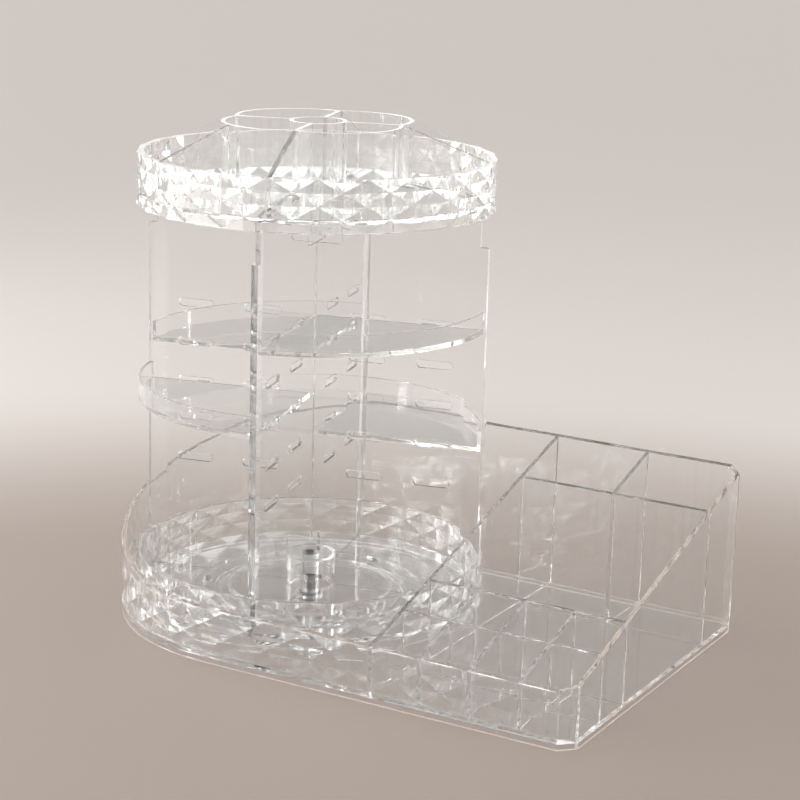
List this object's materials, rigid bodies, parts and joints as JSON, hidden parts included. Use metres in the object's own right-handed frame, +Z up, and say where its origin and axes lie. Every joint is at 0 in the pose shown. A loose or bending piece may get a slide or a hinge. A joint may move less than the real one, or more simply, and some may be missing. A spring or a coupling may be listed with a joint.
{
  "type": "rotating makeup organizer",
  "caption": "Clear makeup organizer: a long tray with fixed compartments beside a carousel with crossed panels, quarter-round shelves and a divided top tray, all with diamond-faceted rims.",
  "frame": {"origin": "on the table, under the middle of the tray's length and depth", "axes": "+X along the tray from the carousel to the fixed compartments, +Y to the back, where the tray is tallest, +Z up"},
  "size_m": [0.3702, 0.243, 0.3182],
  "materials": {
    "clear": "clear moulded polystyrene, polished, sharp facets",
    "dark_plastic": "dark plastic washer",
    "steel": "plain steel, slightly dull"
  },
  "bodies": {
    "base": {"base_tray": "clear", "pivot_washer": "dark_plastic"},
    "carousel": {"turntable": "clear", "panel_side_to_side": "clear", "panel_front_to_back": "clear", "pivot_screw": "steel"},
    "ball_ring": {"ball_cage": "clear", "bearing_ball_1": "steel", "bearing_ball_2": "steel", "bearing_ball_3": "steel", "bearing_ball_4": "steel", "bearing_ball_5": "steel", "bearing_ball_6": "steel"},
    "top_tray": {"top_tray": "clear"},
    "shelf_front_right": {"shelf_front_right": "clear"},
    "shelf_back_right": {"shelf_back_right": "clear"},
    "shelf_back_left": {"shelf_back_left": "clear"},
    "shelf_front_left": {"shelf_front_left": "clear"}
  },
  "joints": [
    {"name": "carousel_spin", "type": "hinge", "parent": "base", "child": "carousel", "pos_m": [-0.0636, 0, 0.0116], "axis": [0, 0, 1], "continuous": true},
    {"name": "ball_ring_roll", "type": "hinge", "parent": "base", "child": "ball_ring", "pos_m": [-0.0636, 0, 0.0116], "axis": [0, 0, 1], "continuous": true},
    {"name": "top_tray_lift", "type": "slide", "parent": "carousel", "child": "top_tray", "axis": [0, 0, 1], "range_m": [0, 0.06]},
    {"name": "shelf_back_right_pull", "type": "slide", "parent": "carousel", "child": "shelf_back_right", "axis": [0.5195, 0.8545, 0], "range_m": [0, 0.06]},
    {"name": "shelf_back_left_pull", "type": "slide", "parent": "carousel", "child": "shelf_back_left", "axis": [-0.8545, 0.5195, 0], "range_m": [0, 0.06]},
    {"name": "shelf_front_left_pull", "type": "slide", "parent": "carousel", "child": "shelf_front_left", "axis": [-0.5195, -0.8545, 0], "range_m": [0, 0.06]},
    {"name": "shelf_front_right_pull", "type": "slide", "parent": "carousel", "child": "shelf_front_right", "axis": [0.8545, -0.5195, 0], "range_m": [0, 0.06]}
  ],
  "couplings": [
    {"joint": "ball_ring_roll", "follows": "carousel_spin", "ratio": 0.5}
  ]
}
